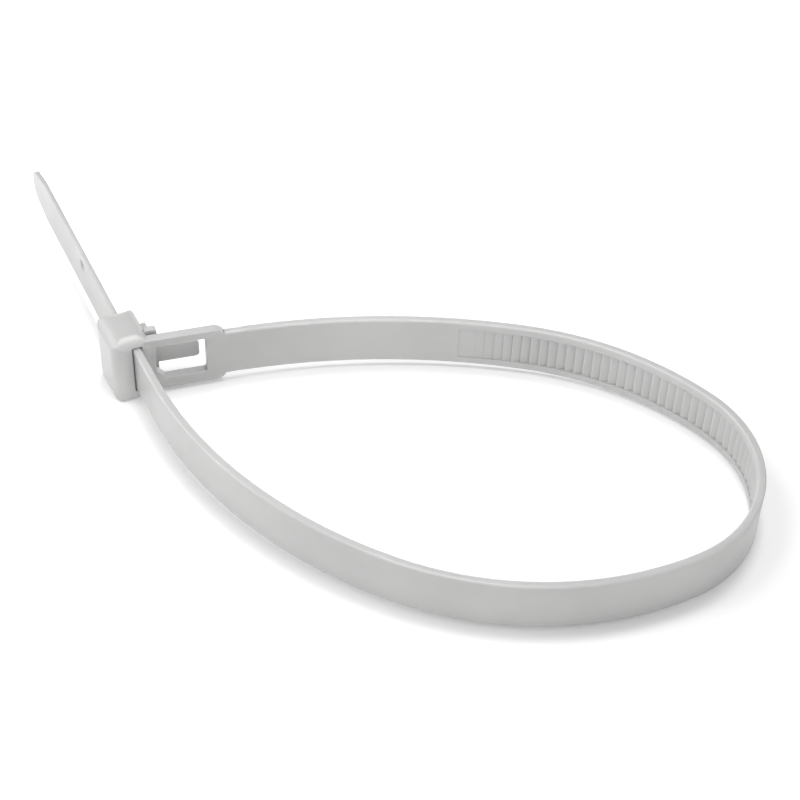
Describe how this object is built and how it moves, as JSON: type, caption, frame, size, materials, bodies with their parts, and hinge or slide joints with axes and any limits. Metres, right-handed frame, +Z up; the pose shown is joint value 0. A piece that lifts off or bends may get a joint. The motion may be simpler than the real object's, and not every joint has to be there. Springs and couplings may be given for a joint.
{
  "type": "cable tie",
  "caption": "Releasable cable tie closed into a drop-shaped loop on its edge, with a toothed strap, a head with a pawl, a thumb lever over a window and a short free tail.",
  "frame": {"origin": "centre of the loop's round end, at the middle of the strap's width", "axes": "+X along the loop away from the head, +Y away from the picture's viewer, +Z up, across the strap's width; the tie lies on its lower edge"},
  "size_m": [0.1056, 0.0827, 0.0109],
  "materials": {
    "cable_tie": "semi-gloss natural nylon"
  },
  "bodies": {
    "root": {"cable_tie": "cable_tie"}
  },
  "joints": []
}
